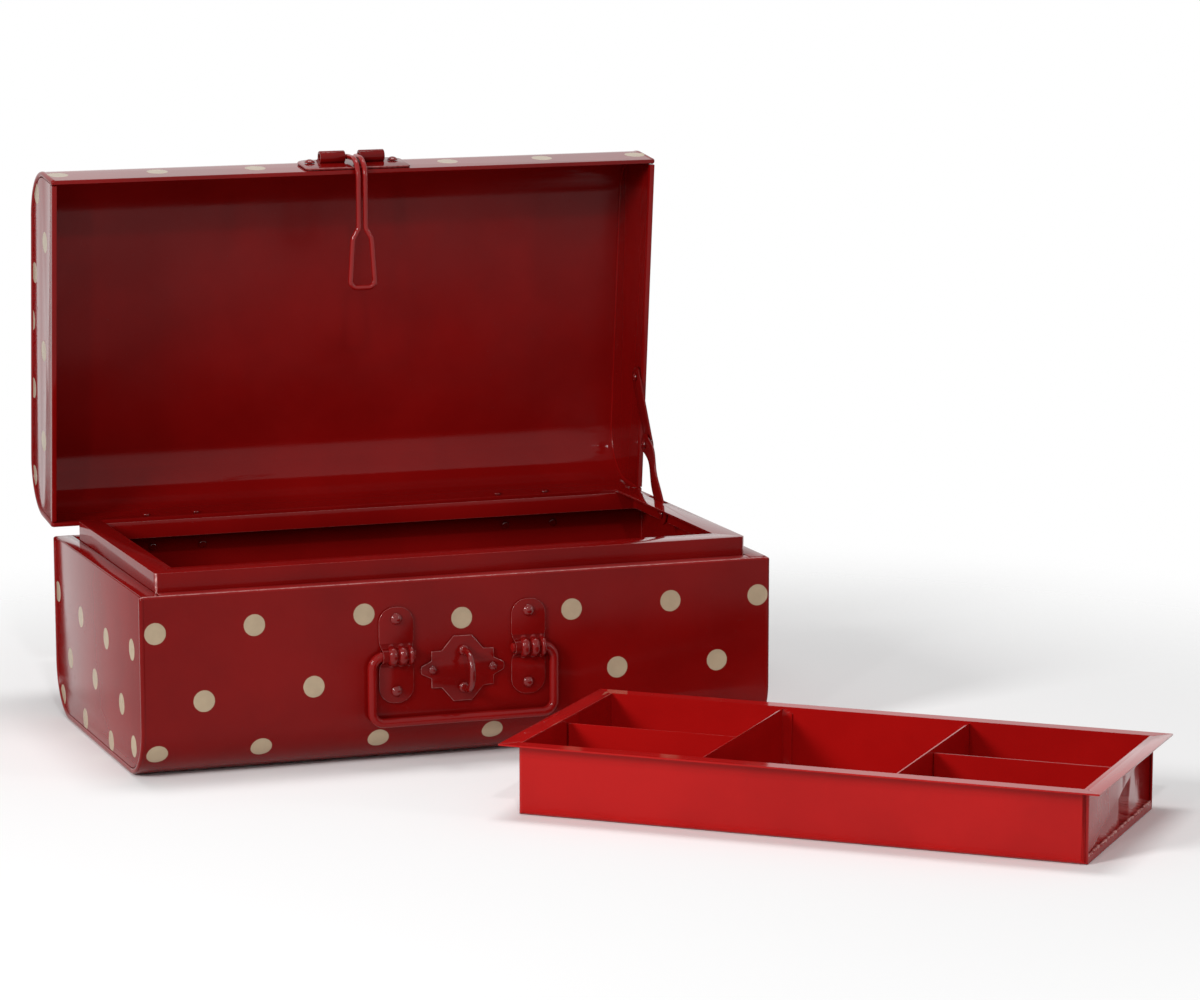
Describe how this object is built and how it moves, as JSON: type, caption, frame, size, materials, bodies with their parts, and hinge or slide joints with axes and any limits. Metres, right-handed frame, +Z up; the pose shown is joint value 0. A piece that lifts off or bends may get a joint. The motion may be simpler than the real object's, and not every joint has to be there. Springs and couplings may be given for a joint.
{
  "type": "storage suitcase",
  "caption": "Small sheet-metal suitcase with rounded long edges, recessed ends, a hinged lid with wire hasp and folding stay, a bail handle, a raised collar and a loose divided tray.",
  "frame": {"origin": "centre of the flat underside of the base", "axes": "+X to the case's right as seen from its front, -Y to the front, +Z up; the lid is open at rest and the tray lies on the floor in front, turned about Z"},
  "size_m": [0.4129, 0.4955, 0.2635],
  "materials": {
    "case_enamel": "high-gloss dark red baked enamel over folded sheet steel, printed with widely spaced pale spots outside",
    "collar_enamel": "high-gloss dark red baked enamel",
    "tray_enamel": "gloss red baked enamel, slightly brighter than the case",
    "fitting_enamel": "gloss dark red enamel over steel fittings, pooled round edges and rivets"
  },
  "bodies": {
    "base": {"base_shell": "case_enamel", "base_end_left": "case_enamel", "base_end_right": "case_enamel", "base_collar": "collar_enamel", "hinge_left_base_leaf": "fitting_enamel", "hinge_right_base_leaf": "fitting_enamel", "hinge_left_pin": "fitting_enamel", "hinge_right_pin": "fitting_enamel", "handle_bracket_left": "fitting_enamel", "handle_bracket_right": "fitting_enamel", "staple_plate": "fitting_enamel", "staple": "fitting_enamel", "rivet_hinge_left_base_left": "fitting_enamel", "rivet_hinge_left_base_right": "fitting_enamel", "rivet_hinge_right_base_left": "fitting_enamel", "rivet_hinge_right_base_right": "fitting_enamel", "rivet_bracket_left_lower": "fitting_enamel", "rivet_bracket_left_upper": "fitting_enamel", "rivet_bracket_right_lower": "fitting_enamel", "rivet_bracket_right_upper": "fitting_enamel", "rivet_staple_plate_left": "fitting_enamel", "rivet_staple_plate_right": "fitting_enamel", "rivet_stay_foot": "fitting_enamel"},
    "lid": {"lid_shell": "case_enamel", "lid_end_left": "case_enamel", "lid_end_right": "case_enamel", "hinge_left_lid_leaf": "fitting_enamel", "hinge_right_lid_leaf": "fitting_enamel", "hasp_plate": "fitting_enamel", "rivet_hinge_left_lid_left": "fitting_enamel", "rivet_hinge_left_lid_right": "fitting_enamel", "rivet_hinge_right_lid_left": "fitting_enamel", "rivet_hinge_right_lid_right": "fitting_enamel", "rivet_hasp_left": "fitting_enamel", "rivet_hasp_right": "fitting_enamel", "rivet_stay_lid": "fitting_enamel"},
    "handle": {"handle_bail": "fitting_enamel"},
    "hasp": {"hasp_wire": "fitting_enamel"},
    "stay_lower": {"stay_lower_link": "fitting_enamel", "rivet_stay_elbow": "fitting_enamel"},
    "stay_upper": {"stay_upper_link": "fitting_enamel"},
    "tray": {"tray_pan": "tray_enamel", "tray_end_left": "tray_enamel", "tray_end_right": "tray_enamel", "tray_cross_divider_left": "tray_enamel", "tray_cross_divider_right": "tray_enamel", "tray_long_divider_left": "tray_enamel", "tray_long_divider_right": "tray_enamel"}
  },
  "joints": [
    {"name": "lid_swing", "type": "hinge", "parent": "base", "child": "lid", "pos_m": [0, 0.0869, 0.0855], "axis": [1, 0, 0], "range_deg": [0, 84]},
    {"name": "handle_swing", "type": "hinge", "parent": "base", "child": "handle", "pos_m": [0, -0.0862, 0.0511], "axis": [-1, 0, 0], "range_deg": [0, 115]},
    {"name": "hasp_swing", "type": "hinge", "parent": "lid", "child": "hasp", "pos_m": [0, 0.08329, 0.26048], "axis": [1, 0, 0], "range_deg": [-84, 0]},
    {"name": "stay_lower_swing", "type": "hinge", "parent": "base", "child": "stay_lower", "pos_m": [0, 0.0285, 0.0874], "axis": [1, 0, 0], "range_deg": [0, 8.4]},
    {"name": "stay_upper_swing", "type": "hinge", "parent": "lid", "child": "stay_upper", "pos_m": [0, 0.08622, 0.14646], "axis": [1, 0, 0], "range_deg": [0, 71.4]},
    {"name": "tray_lift", "type": "slide", "parent": "base", "child": "tray", "axis": [0, 0, 1], "range_m": [0, 0.12]}
  ],
  "couplings": [
    {"joint": "hasp_swing", "follows": "lid_swing", "ratio": -1},
    {"joint": "stay_lower_swing", "follows": "lid_swing", "ratio": 0.1},
    {"joint": "stay_upper_swing", "follows": "lid_swing", "ratio": 0.85}
  ]
}
